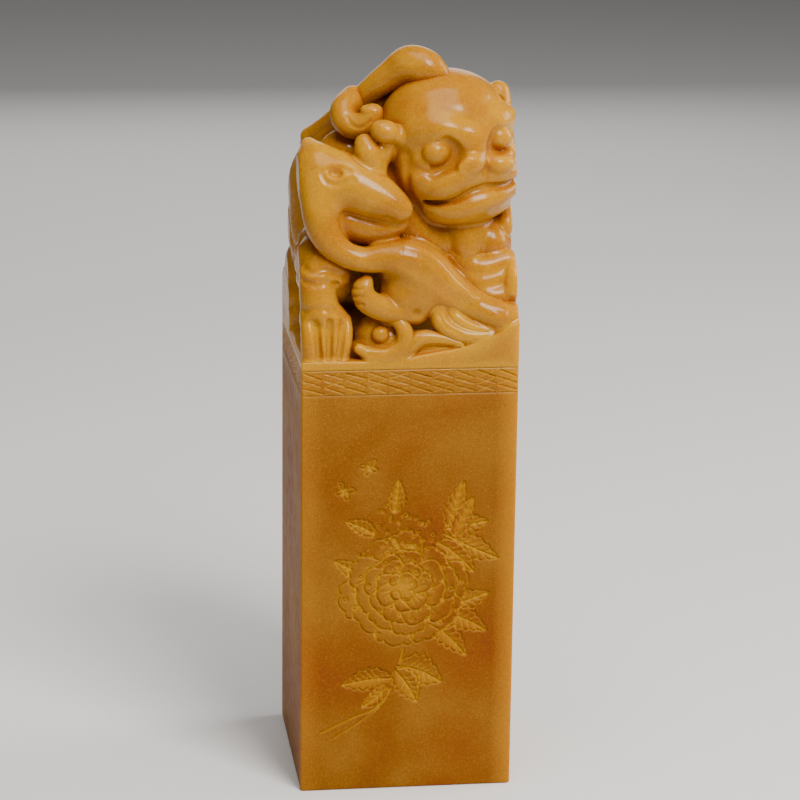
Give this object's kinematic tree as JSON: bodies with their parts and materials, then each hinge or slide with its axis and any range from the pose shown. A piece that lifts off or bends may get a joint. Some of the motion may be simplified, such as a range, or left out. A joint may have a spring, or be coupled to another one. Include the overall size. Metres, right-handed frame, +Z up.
{
  "type": "seal stamp",
  "caption": "Square stone hand seal with a crouching lion and its cub carved on top, an engraved band and a fret face.",
  "frame": {"origin": "middle of the square stamping face at the column's lower end", "axes": "+Z up through the column to the carved knob, -Y out of the front face, +X to the right of it"},
  "size_m": [0.033, 0.033, 0.115],
  "materials": {
    "stone": "waxed and polished"
  },
  "bodies": {
    "root": {"brows": "stone", "cloud_curl": "stone", "cloud_wave": "stone", "cub_body": "stone", "cub_forepaw": "stone", "cub_head": "stone", "cub_hind_leg": "stone", "cub_horns": "stone", "cub_neck": "stone", "cub_tail": "stone", "ear": "stone", "eyes": "stone", "far_foreleg": "stone", "far_forepaw": "stone", "far_haunch": "stone", "far_hind_paw": "stone", "lattice_band": "stone", "lion_cheeks": "stone", "lion_chest": "stone", "lion_head": "stone", "lion_rump": "stone", "lion_shoulders": "stone", "lion_tail": "stone", "lion_torso": "stone", "lower_jaw": "stone", "mane": "stone", "muzzle": "stone", "near_forearm": "stone", "near_forepaw": "stone", "near_hind_paw": "stone", "near_shin": "stone", "near_shoulder": "stone", "near_thigh": "stone", "nose": "stone", "nose_bridge": "stone", "pearl": "stone", "rock_base": "stone", "seal_face": "stone", "shaft_block": "stone", "tail_tuft": "stone"}
  },
  "joints": []
}
